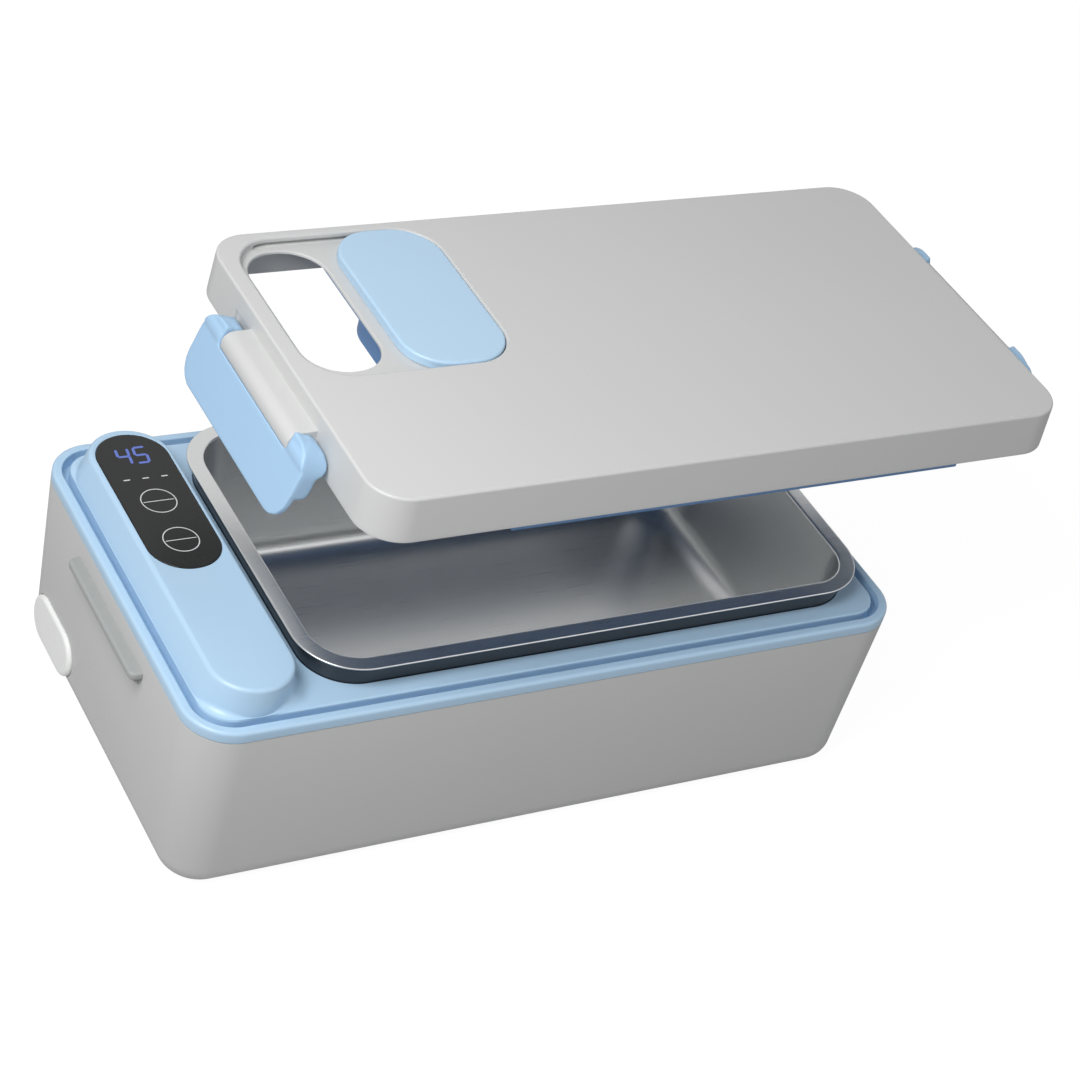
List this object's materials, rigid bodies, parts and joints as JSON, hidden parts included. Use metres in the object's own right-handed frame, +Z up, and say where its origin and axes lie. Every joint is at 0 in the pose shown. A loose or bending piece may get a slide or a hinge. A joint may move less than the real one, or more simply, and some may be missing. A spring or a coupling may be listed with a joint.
{
  "type": "electric lunch box",
  "caption": "Rounded electric lunch box with a steel tray in a heated well, a touch panel beside it, and a lift-off lid with a sliding panel cover and a hinged latch on each end.",
  "frame": {"origin": "middle of the grey shell's flat underside, on the table", "axes": "+X along the long side to the end without controls, +Y to the back, +Z up"},
  "size_m": [0.3185, 0.142, 0.1513],
  "materials": {
    "shell_grey": "satin grey moulding",
    "lid_grey": "satin light grey moulding",
    "deck_blue": "pale blue moulding",
    "slider_blue": "pale blue moulding",
    "latch_blue": "pale blue moulding",
    "liner_blue": "blue moulding",
    "panel_black": "black touch panel",
    "display": "lit number display",
    "board_green": "circuit board",
    "pads_black": "conductive foam",
    "collar_black": "black collar",
    "steel": "stainless steel",
    "aluminium": "aluminium sheet",
    "heater_cream": "heater block",
    "thermostat_black": "thermostat body",
    "felt": "insulating felt",
    "cell_sleeve": "sleeved steel can",
    "holder_black": "black moulding",
    "wire_red": "wire sleeve",
    "rubber_black": "black rubber",
    "rubber_white": "white silicone rubber",
    "screw_steel": "plated steel"
  },
  "bodies": {
    "base": {"lower_shell": "shell_grey", "rubber_feet": "rubber_black", "base_screws": "screw_steel", "top_deck": "deck_blue", "control_panel": "panel_black", "display_module": "display", "control_board": "board_green", "board_screws": "screw_steel", "touch_pads": "pads_black", "tray_collar": "collar_black", "heater_well": "aluminium", "heater_plate": "aluminium", "ptc_heaters": "heater_cream", "thermostat": "thermostat_black", "insulation_pad": "felt", "battery_cells": "cell_sleeve", "battery_holder": "holder_black", "power_board": "board_green", "power_inlet": "holder_black", "internal_wires": "wire_red"},
    "port_plug": {"port_plug": "rubber_white"},
    "tray": {"food_tray": "steel"},
    "lid": {"lid_shell": "lid_grey", "lid_liner": "liner_blue", "lid_seal": "rubber_white", "lid_screws": "screw_steel", "latch_pin_left": "screw_steel", "latch_pin_right": "screw_steel"},
    "slider": {"slider_cover": "slider_blue"},
    "latch_left": {"latch_left": "latch_blue"},
    "latch_right": {"latch_right": "latch_blue"}
  },
  "joints": [
    {"name": "lid_lift", "type": "slide", "parent": "base", "child": "lid", "axis": [0.533, 0, 0.8461], "range_m": [-0.0773, 0]},
    {"name": "slider_slide", "type": "slide", "parent": "lid", "child": "slider", "axis": [1, 0, 0], "range_m": [-0.0336, 0]},
    {"name": "latch_left_swing", "type": "hinge", "parent": "lid", "child": "latch_left", "pos_m": [-0.0918, 0, 0.1414], "axis": [0, 1, 0], "range_deg": [-17, 70]},
    {"name": "latch_right_swing", "type": "hinge", "parent": "lid", "child": "latch_right", "pos_m": [0.1742, 0, 0.1414], "axis": [0, -1, 0], "range_deg": [-17, 70]},
    {"name": "tray_lift", "type": "slide", "parent": "base", "child": "tray", "axis": [0, 0, 1], "range_m": [0, 0.036]},
    {"name": "port_plug_pull", "type": "slide", "parent": "base", "child": "port_plug", "axis": [-1, 0, 0], "range_m": [0, 0.012]}
  ]
}
